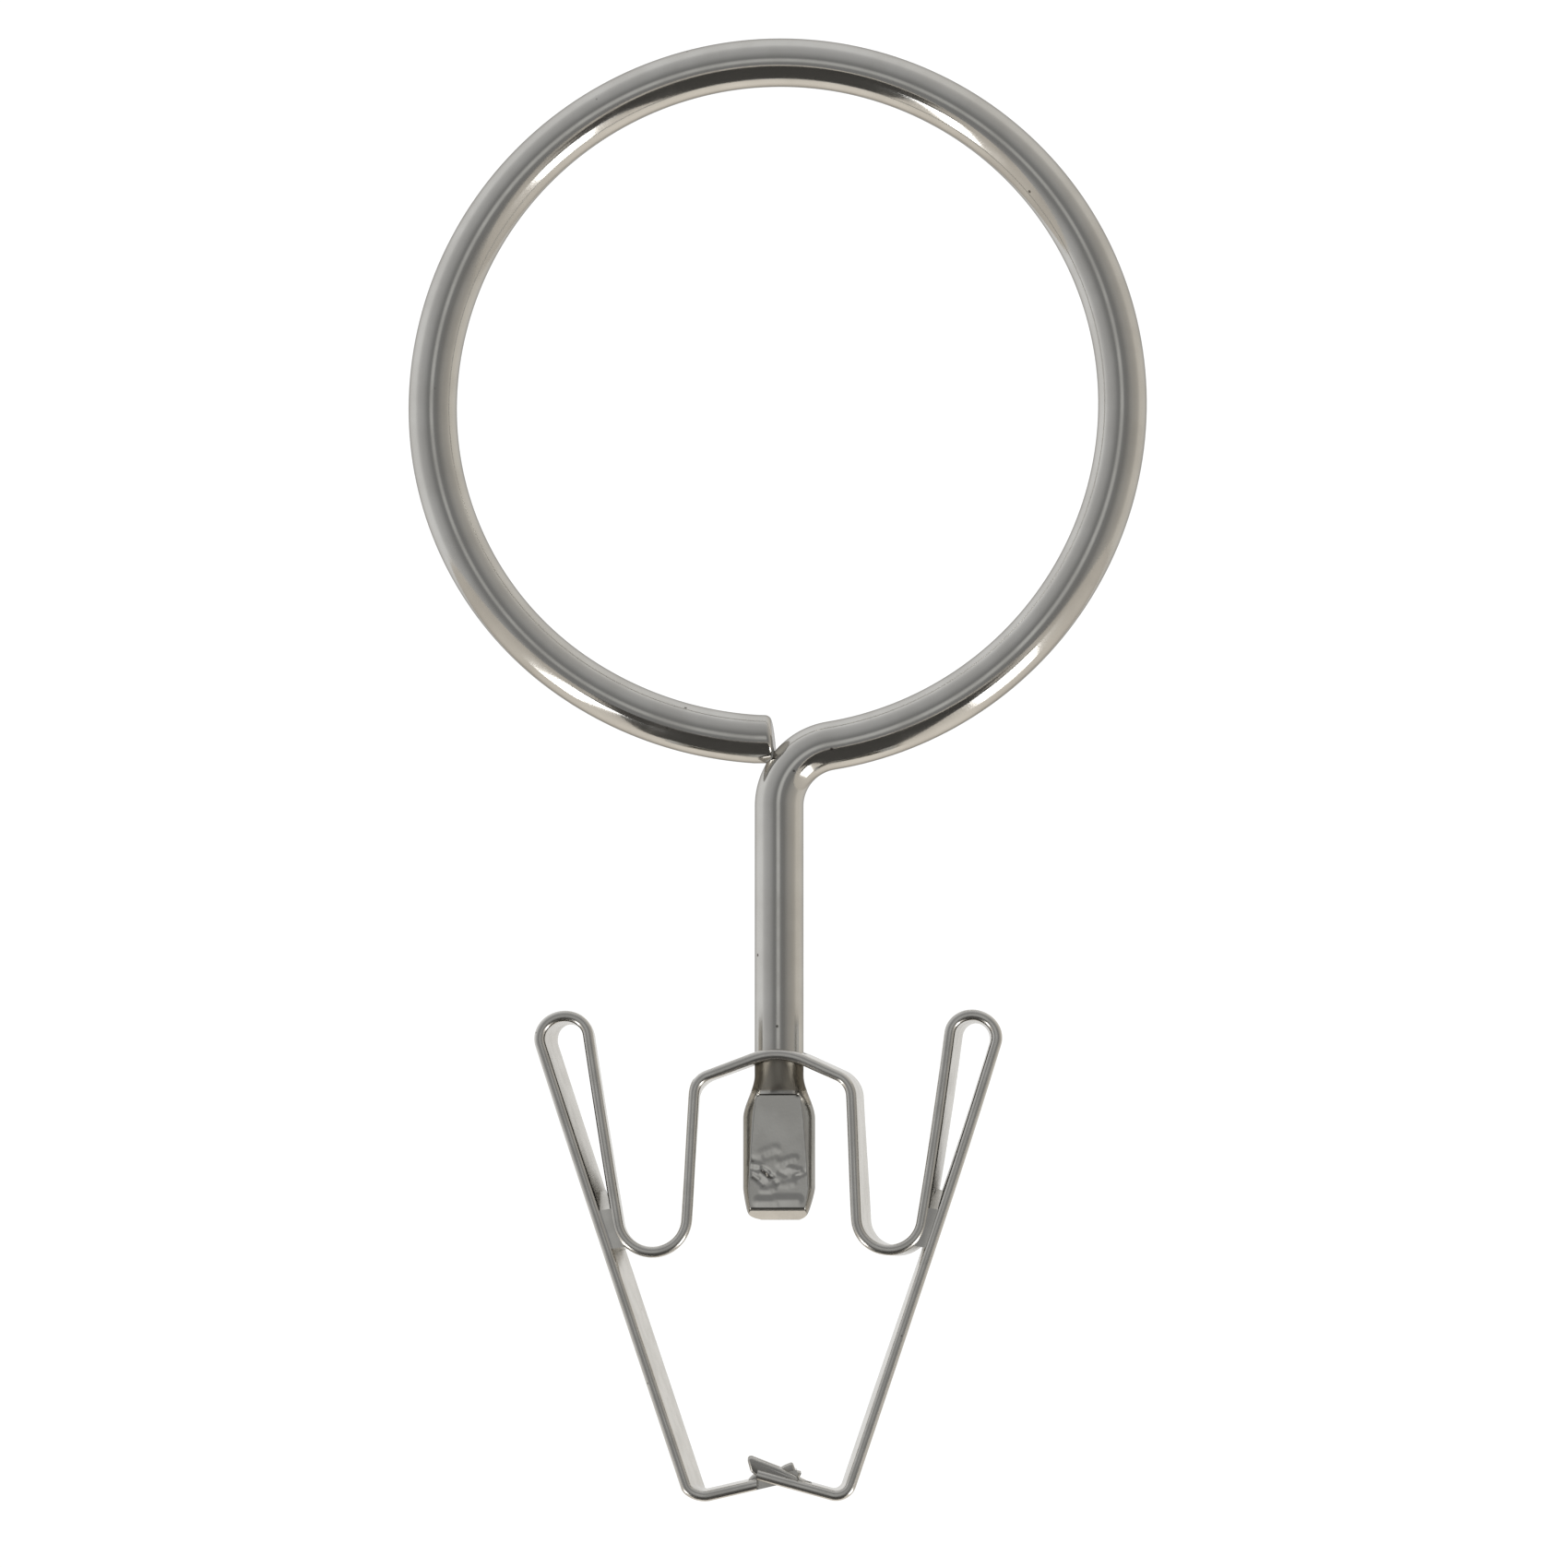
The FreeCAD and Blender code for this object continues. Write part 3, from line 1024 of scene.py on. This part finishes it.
    def dress(self, piece: bpy.types.Object, material: bpy.types.Material) -> None:
        """Gives the clip its finish and its place in the frame.

        Args:
            piece: The clip's mesh object.
            material: Its finish.
        """
        piece.data.materials.append(material)
        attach(piece, "clip")
        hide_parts("spring_clip")


Feed = bpy.types.NodeSocket | float | Vector | tuple[float, ...]


class NodeSheet:
    """Adds nodes to a tree and joins their sockets."""

    def __init__(self, tree: bpy.types.NodeTree) -> None:
        """Empties the tree.

        Args:
            tree: Node tree of a material, a group or the world.
        """
        self.tree = tree
        self.tree.nodes.clear()

    def open_sockets(self, way: str, kind: str, *names: str) -> None:
        """Opens sockets on the face of a group.

        Args:
            way: INPUT or OUTPUT.
            kind: Color or Float.
            *names: Names of the sockets.
        """
        for name in names:
            self.tree.interface.new_socket(name=name, in_out=way, socket_type="NodeSocket" + kind)

    def add(self, kind: str, **settings: object) -> bpy.types.Node:
        """Adds a node.

        Args:
            kind: Type of the node.
            **settings: Properties of the node, by name.

        Returns:
            The new node.
        """
        node = self.tree.nodes.new(kind)
        for name, value in settings.items():
            setattr(node, name, value)
        return node

    def feed(self, node: bpy.types.Node, **values: Feed) -> bpy.types.Node:
        """Joins sockets to a node's inputs, or sets the inputs.

        Args:
            node: Node whose inputs are fed.
            **values: Socket or value of each input, by its name with _ for a space.

        Returns:
            The same node.
        """
        for name, value in values.items():
            self.feed_one(node.inputs[name.replace("_", " ")], value)
        return node

    def feed_one(self, entry: bpy.types.NodeSocket, value: Feed) -> None:
        """Joins a socket to an input, or sets the input."""
        if isinstance(value, bpy.types.NodeSocket):
            self.tree.links.new(value, entry)
        else:
            entry.default_value = value

    def sum(self, operation: str, *values: Feed, clamp: bool = False) -> bpy.types.NodeSocket:
        """Adds a math node.

        Args:
            operation: What it does.
            *values: What its inputs are fed with, in order.
            clamp: Whether the result is held between 0 and 1.

        Returns:
            The node's output.
        """
        node = self.add("ShaderNodeMath", operation=operation, use_clamp=clamp)
        for entry, value in zip(node.inputs, values):
            self.feed_one(entry, value)
        return node.outputs["Value"]

    def mix(
        self, kind: str, share: Feed, first: Feed, last: Feed, blend: str = "MIX"
    ) -> bpy.types.NodeSocket:
        """Adds a mix node.

        Args:
            kind: RGBA or FLOAT.
            share: How much of the last is taken.
            first: What the first input is fed with.
            last: What the last input is fed with.
            blend: How two colours are blended.

        Returns:
            The node's output.
        """
        node = self.add("ShaderNodeMix", data_type=kind, blend_type=blend)
        return self.feed(node, Factor=share, A=first, B=last).outputs["Result"]

    def stretch(
        self, value: Feed, low: float, high: float, gentle: bool = False
    ) -> bpy.types.NodeSocket:
        """Adds a node that takes the span between two limits to 0 and 1.

        Args:
            value: What it is fed with.
            low: Limit that gives 0.
            high: Limit that gives 1.
            gentle: Whether the span starts and ends gently.

        Returns:
            The node's output.
        """
        shape = "SMOOTHSTEP" if gentle else "LINEAR"
        node = self.add("ShaderNodeMapRange", interpolation_type=shape)
        return self.feed(node, Value=value, From_Min=low, From_Max=high).outputs["Result"]

    def ramp(self, share: Feed, stops: Stops) -> bpy.types.NodeSocket:
        """Adds a colour ramp.

        Args:
            share: What it is fed with.
            stops: Place and colour of each stop.

        Returns:
            The ramp's colour.
        """
        node = self.feed(self.add("ShaderNodeValToRGB"), Fac=share)
        marks = node.color_ramp.elements
        while len(marks) < len(stops):
            marks.new(1.0)
        for mark, (place, colour) in zip(marks, stops):
            mark.position = place
            mark.color = (*colour, 1.0)
        return node.outputs["Color"]


def plated_surface() -> bpy.types.ShaderNodeTree:
    """Builds the group for plated steel: cloudy sheen, fine grain and scattered pits.

    Returns:
        The node group, with colour, roughness and height as outputs.
    """
    group = bpy.data.node_groups.new("plated_surface", "ShaderNodeTree")
    sheet = NodeSheet(group)
    sheet.open_sockets("INPUT", "Color", "Clean Colour", "Dull Colour", "Pit Colour")
    sheet.open_sockets("INPUT", "Float", "Cloud Scale", "Grain Scale", "Pit Scale", "Pit Rarity")
    sheet.open_sockets("INPUT", "Float", "Smooth Roughness", "Dull Roughness")
    sheet.open_sockets("OUTPUT", "Color", "Colour")
    sheet.open_sockets("OUTPUT", "Float", "Roughness", "Height")
    given = sheet.add("NodeGroupInput").outputs
    place = sheet.add("ShaderNodeTexCoord").outputs["Object"]
    cloud = sheet.add("ShaderNodeTexNoise", noise_dimensions="3D")
    sheet.feed(cloud, Vector=place, Scale=given["Cloud Scale"], Detail=3.0)
    grain = sheet.add("ShaderNodeTexNoise", noise_dimensions="3D")
    sheet.feed(grain, Vector=place, Scale=given["Grain Scale"], Detail=2.0)
    pits = sheet.add("ShaderNodeTexVoronoi", feature="F1")
    sheet.feed(pits, Vector=place, Scale=given["Pit Scale"])
    dullness = sheet.stretch(cloud.outputs["Fac"], low=0.35, high=0.68, gentle=True)
    hollow = sheet.stretch(pits.outputs["Distance"], low=0.12, high=0.05, gentle=True)
    chosen = sheet.feed(sheet.add("ShaderNodeSeparateColor"), Color=pits.outputs["Color"])
    rare = sheet.sum("GREATER_THAN", chosen.outputs["Red"], given["Pit Rarity"])
    pit = sheet.sum("MULTIPLY", hollow, rare)
    plate = sheet.mix("RGBA", dullness, given["Clean Colour"], given["Dull Colour"])
    sheet.feed(
        sheet.add("NodeGroupOutput"),
        Colour=sheet.mix("RGBA", pit, plate, given["Pit Colour"]),
        Roughness=sheet.mix("FLOAT", dullness, given["Smooth Roughness"], given["Dull Roughness"]),
        Height=sheet.sum("SUBTRACT", grain.outputs["Fac"], pit),
    )
    return group


def painted_shade_band() -> bpy.types.ShaderNodeTree:
    """Builds the group for the painted shade, a dark brown band on the neck below the clip's roof.

    Returns:
        The node group, which takes a colour and a roughness and gives them back with the band.
    """
    group = bpy.data.node_groups.new("painted_shade_band", "ShaderNodeTree")
    sheet = NodeSheet(group)
    sheet.open_sockets("INPUT", "Color", "Colour", "Band Colour")
    sheet.open_sockets("INPUT", "Float", "Roughness", "Band Roughness", "Top", "Bottom")
    sheet.open_sockets("INPUT", "Float", "Softness", "Waver", "Waver Scale")
    sheet.open_sockets("OUTPUT", "Color", "Colour")
    sheet.open_sockets("OUTPUT", "Float", "Roughness")
    given = sheet.add("NodeGroupInput").outputs
    place = sheet.add("ShaderNodeTexCoord").outputs["Object"]
    parts = sheet.feed(sheet.add("ShaderNodeSeparateXYZ"), Vector=place)
    streaks = sheet.add("ShaderNodeTexNoise", noise_dimensions="3D")
    sheet.feed(streaks, Vector=place, Scale=given["Waver Scale"])
    height = sheet.sum("MULTIPLY_ADD", streaks.outputs["Fac"], given["Waver"], parts.outputs["Z"])
    strengths = []
    for upper, lower in ((height, given["Bottom"]), (given["Top"], height)):
        inside = sheet.sum("SUBTRACT", upper, lower)
        strengths.append(sheet.sum("DIVIDE", inside, given["Softness"], clamp=True))
    band = sheet.sum("MULTIPLY", *strengths)
    sheet.feed(
        sheet.add("NodeGroupOutput"),
        Colour=sheet.mix("RGBA", band, given["Colour"], given["Band Colour"]),
        Roughness=sheet.mix("FLOAT", band, given["Roughness"], given["Band Roughness"]),
    )
    return group


@dataclass(frozen=True)
class PaintedShadeBand:
    """Painted shade: a dark brown band round the neck, below the clip's roof."""

    # Colour and roughness of the painted shade below the clip's roof
    colour: Colour = (0.285, 0.268, 0.235)
    roughness: float = 0.34
    top: float = -39.8 * MM
    bottom: float = -42.17 * MM
    softness: float = 0.14 * MM
    waver: float = 0.1 * MM
    waver_scale: float = 1500.0

    def cover(self, sheet: NodeSheet, marks: bpy.types.NodeOutputs) -> bpy.types.NodeOutputs:
        """Lays the painted shade band over the marks of the plate.

        Args:
            sheet: The material's nodes.
            marks: Colour and roughness of the plate.

        Returns:
            Colour and roughness with the band.
        """
        return sheet.feed(
            sheet.add("ShaderNodeGroup", node_tree=painted_shade_band()),
            Colour=marks["Colour"],
            Roughness=marks["Roughness"],
            Band_Colour=(*self.colour, 1.0),
            Band_Roughness=self.roughness,
            Top=self.top,
            Bottom=self.bottom,
            Softness=self.softness,
            Waver=self.waver,
            Waver_Scale=self.waver_scale,
        ).outputs


@dataclass(frozen=True)
class PlatedFinish:
    """Satin nickel plate, with the scale of its marks in cells per metre."""

    name: str
    clean: Colour
    dull: Colour
    edge: Colour = (0.42, 0.41, 0.4)
    pit: Colour = (0.16, 0.15, 0.14)
    cloud_scale: float = 420.0
    grain_scale: float = 7000.0
    pit_scale: float = 900.0
    pit_rarity: float = 0.88
    smooth_roughness: float = 0.1
    dull_roughness: float = 0.17
    grain_depth: float = 0.0009 * MM
    # Painted shade band laid over the plate, where given
    band: PaintedShadeBand | None = None

    def material(self, group: bpy.types.ShaderNodeTree) -> bpy.types.Material:
        """Builds the finish as a material.

        Args:
            group: Group that gives the plate its marks.

        Returns:
            The material.
        """
        material = bpy.data.materials.new(self.name)
        material.use_nodes = True
        sheet = NodeSheet(material.node_tree)
        marks = sheet.feed(
            sheet.add("ShaderNodeGroup", node_tree=group),
            Clean_Colour=(*self.clean, 1.0),
            Dull_Colour=(*self.dull, 1.0),
            Pit_Colour=(*self.pit, 1.0),
            Cloud_Scale=self.cloud_scale,
            Grain_Scale=self.grain_scale,
            Pit_Scale=self.pit_scale,
            Pit_Rarity=self.pit_rarity,
            Smooth_Roughness=self.smooth_roughness,
            Dull_Roughness=self.dull_roughness,
        ).outputs
        # Lays the painted shade band, where given, over the plate's colour and roughness
        skin = self.band.cover(sheet, marks) if self.band else marks
        bump = sheet.add("ShaderNodeBump")
        sheet.feed(bump, Distance=self.grain_depth, Height=marks["Height"])
        metal = sheet.feed(
            sheet.add("ShaderNodeBsdfPrincipled"),
            Metallic=1.0,
            Specular_Tint=(*self.edge, 1.0),
            Base_Color=skin["Colour"],
            Roughness=skin["Roughness"],
            Normal=bump.outputs["Normal"],
        )
        sheet.feed(sheet.add("ShaderNodeOutputMaterial"), Surface=metal.outputs["BSDF"])
        return material


WIRE_FINISH = PlatedFinish(
    "nickel_on_wire",
    clean=(0.62, 0.612, 0.588),
    dull=(0.575, 0.565, 0.54),
    # Painted shade band on the neck below the clip's roof
    band=PaintedShadeBand(),
)
STRIP_FINISH = PlatedFinish(
    "nickel_on_strip",
    clean=(0.64, 0.63, 0.605),
    dull=(0.585, 0.575, 0.55),
    cloud_scale=700.0,
    edge=(0.78, 0.77, 0.75),
    pit_scale=1300.0,
    smooth_roughness=0.22,
    dull_roughness=0.25,
)

# Grey of the room, from the camera's side to the far side
ROOM_STOPS = (
    (0.0, 0.26), (0.03, 0.25), (0.05, 0.265), (0.09, 0.35), (0.16, 0.44), (0.25, 0.49),
    (0.36, 0.565), (0.42, 0.66), (0.49, 0.79), (0.64, 0.835), (0.80, 0.92), (0.93, 1.06),
)
# Tint of the room, from the left of the picture to the right
SIDE_TINTS = (
    (0.0, (1.06, 1.06, 1.06)), (0.44, (1.0, 1.0, 1.0)),
    (0.56, (1.0, 1.0, 1.0)), (1.0, (0.9, 0.85, 0.77)),
)
# Soft spot of light beside the camera, from its rim to its middle
GLOW_STOPS = ((0.0, (0.0, 0.0, 0.0)), (0.5, (0.17, 0.17, 0.16)), (1.0, (0.36, 0.36, 0.35)))
VIEW_CENTRE = spot(0.3 * MM, -23.3 * MM)


@dataclass(frozen=True)
class Flag:
    """Dark cloth: where it lies, and where it begins and ends, in the studio's degrees."""

    name: str
    round_axis: float
    half_width: float
    reach: tuple[float, float]


@dataclass(frozen=True)
class SideLamp:
    """Narrow lamp: its place in degrees round the view axis, and its width."""

    name: str
    round_axis: float
    width: float


FLAGS = (
    Flag("low_flag", round_axis=264.5, half_width=31.0, reach=(19.0, 87.0)),
    Flag("cross_flag", round_axis=270.0, half_width=46.0, reach=(33.0, 46.0)),
)
SIDE_LAMPS = (
    SideLamp("low_left_lamp", round_axis=226.5, width=0.05),
    SideLamp("low_right_lamp", round_axis=311.0, width=0.08),
)


@dataclass
class Studio:
    """White studio: its world, floor, dark flags, lamps and camera.

    Places are given as seen from the object towards the camera: degrees round the view
    axis, from the right over the top, and degrees away from that axis.
    """

    aim: Vector
    azimuth: float = 4.3
    elevation: float = -4.0
    distance: float = 0.45
    frame_width: float = 96.3 * MM
    sensor: float = 36.0
    near_clip: float = 0.01
    floor_drop: float = 0.75
    floor_radius: float = 2.2
    floor_sides: int = 180
    floor_colour: Colour = (0.84, 0.79, 0.72)
    glow_place: tuple[float, float] = (121.6, 8.2)
    glow_reach: float = 11.5
    flag_distance: float = 0.5
    flag_colour: Colour = (0.055, 0.053, 0.05)
    lamp_distance: float = 0.36
    lamp_off_axis: float = 67.0
    lamp_length: float = 0.24
    lamp_radiance: float = 4.2
    wash_size: float = 0.8
    wash_radiance: float = 3.6
    wash_place: tuple[float, float, float] = (0.0, 0.5, 0.4)

    @property
    def back(self) -> Vector:
        """Direction from the object to the camera."""
        turn = math.radians(self.azimuth)
        rise = math.radians(self.elevation)
        flat = Vector((math.sin(turn), -math.cos(turn), 0.0))
        return flat * math.cos(rise) + Vector((0.0, 0.0, math.sin(rise)))

    @property
    def right(self) -> Vector:
        """Direction to the right of the picture."""
        return Vector((0.0, 0.0, 1.0)).cross(self.back).normalized()

    @property
    def up(self) -> Vector:
        """Direction to the top of the picture."""
        return self.back.cross(self.right)

    def toward(self, round_axis: float, off_axis: float) -> Vector:
        """Direction from the object to a place in the studio.

        Args:
            round_axis: Degrees round the view axis.
            off_axis: Degrees away from it.

        Returns:
            The unit vector.
        """
        angle = math.radians(round_axis)
        away = math.radians(off_axis)
        across = self.right * math.cos(angle) + self.up * math.sin(angle)
        return across * math.sin(away) + self.back * math.cos(away)

    def light_world(self) -> None:
        """Makes the world a soft room, dim in front of the object and white behind it."""
        world = bpy.data.worlds.new("studio_room")
        bpy.context.scene.world = world
        world.use_nodes = True
        sheet = NodeSheet(world.node_tree)
        place = sheet.add("ShaderNodeTexCoord").outputs["Generated"]

        def along(direction: Vector, low: float, high: float) -> bpy.types.NodeSocket:
            """Share from 0 to 1 between two cosines to a direction."""
            dot = sheet.add("ShaderNodeVectorMath", operation="DOT_PRODUCT")
            sheet.feed_one(dot.inputs[0], place)
            sheet.feed_one(dot.inputs[1], direction)
            return sheet.stretch(dot.outputs["Value"], low, high)

        greys = tuple((stop, (value, value, value)) for stop, value in ROOM_STOPS)
        room = sheet.ramp(along(self.back, 1.0, -1.0), greys)
        sides = sheet.ramp(along(self.right, -1.0, 1.0), SIDE_TINTS)
        toned = sheet.mix("RGBA", 1.0, room, sides, blend="MULTIPLY")
        rim = math.cos(math.radians(self.glow_reach))
        glow = sheet.ramp(along(self.toward(*self.glow_place), rim, 1.0), GLOW_STOPS)
        summed = sheet.mix("RGBA", 1.0, toned, glow, blend="ADD")
        light = sheet.feed(sheet.add("ShaderNodeBackground"), Color=summed)
        sheet.feed(sheet.add("ShaderNodeOutputWorld"), Surface=light.outputs["Background"])

    def plain_material(self, name: str, colour: Colour) -> bpy.types.Material:
        """Makes a matt material for the studio.

        Args:
            name: Name of the material.
            colour: Its colour.

        Returns:
            The material.
        """
        material = bpy.data.materials.new(name)
        material.use_nodes = True
        sheet = NodeSheet(material.node_tree)
        paint = sheet.feed(sheet.add("ShaderNodeBsdfDiffuse"), Color=(*colour, 1.0))
        sheet.feed(sheet.add("ShaderNodeOutputMaterial"), Surface=paint.outputs["BSDF"])
        return material

    def lay_floor(self) -> None:
        """Lays the pale floor well below the hanging clip."""
        bpy.ops.object.select_all(action="DESELECT")
        place = (0.0, 0.0, -self.floor_drop)
        bpy.ops.mesh.primitive_circle_add(
            vertices=self.floor_sides, radius=self.floor_radius, fill_type="NGON", location=place
        )
        floor = bpy.context.object
        floor.name = "studio_floor"
        floor.data.materials.append(self.plain_material("floor_paint", self.floor_colour))

    def hang_flag(self, flag: Flag) -> None:
        """Hangs a dark flag below the view axis, which draws a dark band along the wire.

        Args:
            flag: Name, place and size of the flag.
        """
        near = self.toward(flag.round_axis, flag.reach[0]) * self.flag_distance
        far = self.toward(flag.round_axis, flag.reach[1]) * self.flag_distance
        middle = (near + far) / 2.0
        width = 2.0 * middle.length * math.sin(math.radians(sum(flag.reach) / 2.0))
        bpy.ops.object.select_all(action="DESELECT")
        bpy.ops.mesh.primitive_plane_add(size=1.0)
        cloth = bpy.context.object
        cloth.name = flag.name
        down = (far - near).normalized()
        side = down.cross(middle).normalized()
        turned = Matrix((side, down, side.cross(down))).transposed()
        across = width * math.tan(math.radians(flag.half_width))
        size = Matrix.Diagonal((across, (far - near).length, 1.0))
        cloth.matrix_world = Matrix.Translation(middle) @ (turned @ size).to_4x4()
        cloth.visible_camera = False
        cloth.data.materials.append(self.plain_material(flag.name + "_cloth", self.flag_colour))

    def add_lamp(
        self, name: str, place: Vector, size: tuple[float, float], radiance: float, along: Vector
    ) -> bpy.types.Object:
        """Adds a soft lamp that faces the object.

        Args:
            name: Name of the lamp.
            place: Its place.
            size: Its width and height.
            radiance: Brightness of its face, where 1 is white.
            along: Direction along which its height lies.

        Returns:
            The lamp's object.
        """
        data = bpy.data.lights.new(name, "AREA")
        data.shape = "RECTANGLE"
        data.size, data.size_y = size
        data.energy = radiance * math.pi * size[0] * size[1]
        lamp = bpy.data.objects.new(name, data)
        bpy.context.collection.objects.link(lamp)
        facing = place.normalized()
        side = along.cross(facing).normalized()
        turned = Matrix((side, facing.cross(side), facing)).transposed()
        lamp.matrix_world = Matrix.Translation(place) @ turned.to_4x4()
        lamp.visible_camera = False
        return lamp

    def place_lamps(self) -> None:
        """Places the two low side lamps, and the wash that only the floor shows."""
        for lamp in SIDE_LAMPS:
            place = self.toward(lamp.round_axis, self.lamp_off_axis) * self.lamp_distance
            along = self.toward(lamp.round_axis, self.lamp_off_axis + 90.0)
            size = (lamp.width, self.lamp_length)
            self.add_lamp(lamp.name, place, size, self.lamp_radiance, along)
        size = (self.wash_size, self.wash_size)
        above = Vector((0.0, 0.0, 1.0))
        wash = self.add_lamp("floor_wash", above, size, self.wash_radiance, Vector((0.0, 1.0, 0.0)))
        wash.matrix_world = Matrix.Translation(self.wash_place)
        wash.visible_glossy = False

    def set_camera(self) -> None:
        """Sets the camera at the photograph's angle."""
        data = bpy.data.cameras.new("view_camera")
        data.sensor_width = self.sensor
        data.lens = self.sensor * self.distance / self.frame_width
        data.clip_start = self.near_clip
        camera = bpy.data.objects.new("view_camera", data)
        bpy.context.collection.objects.link(camera)
        camera.location = self.aim + self.back * self.distance
        camera.rotation_mode = "QUATERNION"
        camera.rotation_quaternion = (-self.back).to_track_quat("-Z", "Y")
        bpy.context.scene.camera = camera

    def build(self) -> None:
        """Builds the whole studio."""
        bpy.context.scene.view_settings.view_transform = "Standard"
        self.light_world()
        self.lay_floor()
        for flag in FLAGS:
            self.hang_flag(flag)
        self.place_lamps()
        self.set_camera()


def main() -> None:
    """Builds the two pieces and the studio around them."""
    logging.basicConfig(level=logging.INFO, format="%(name)s: %(message)s")
    bpy.ops.object.select_all(action="DESELECT")
    plate = plated_surface()
    wire = RingWire.from_frame()
    clip = SpringClip.from_frame(wire)
    for part, finish in ((wire, WIRE_FINISH), (clip, STRIP_FINISH)):
        piece = part.build()
        part.dress(piece, finish.material(plate))
        LOG.info("%s: %d faces", piece.name, len(piece.data.polygons))
    Studio(aim=VIEW_CENTRE).build()


if __name__ == "__main__":
    main()
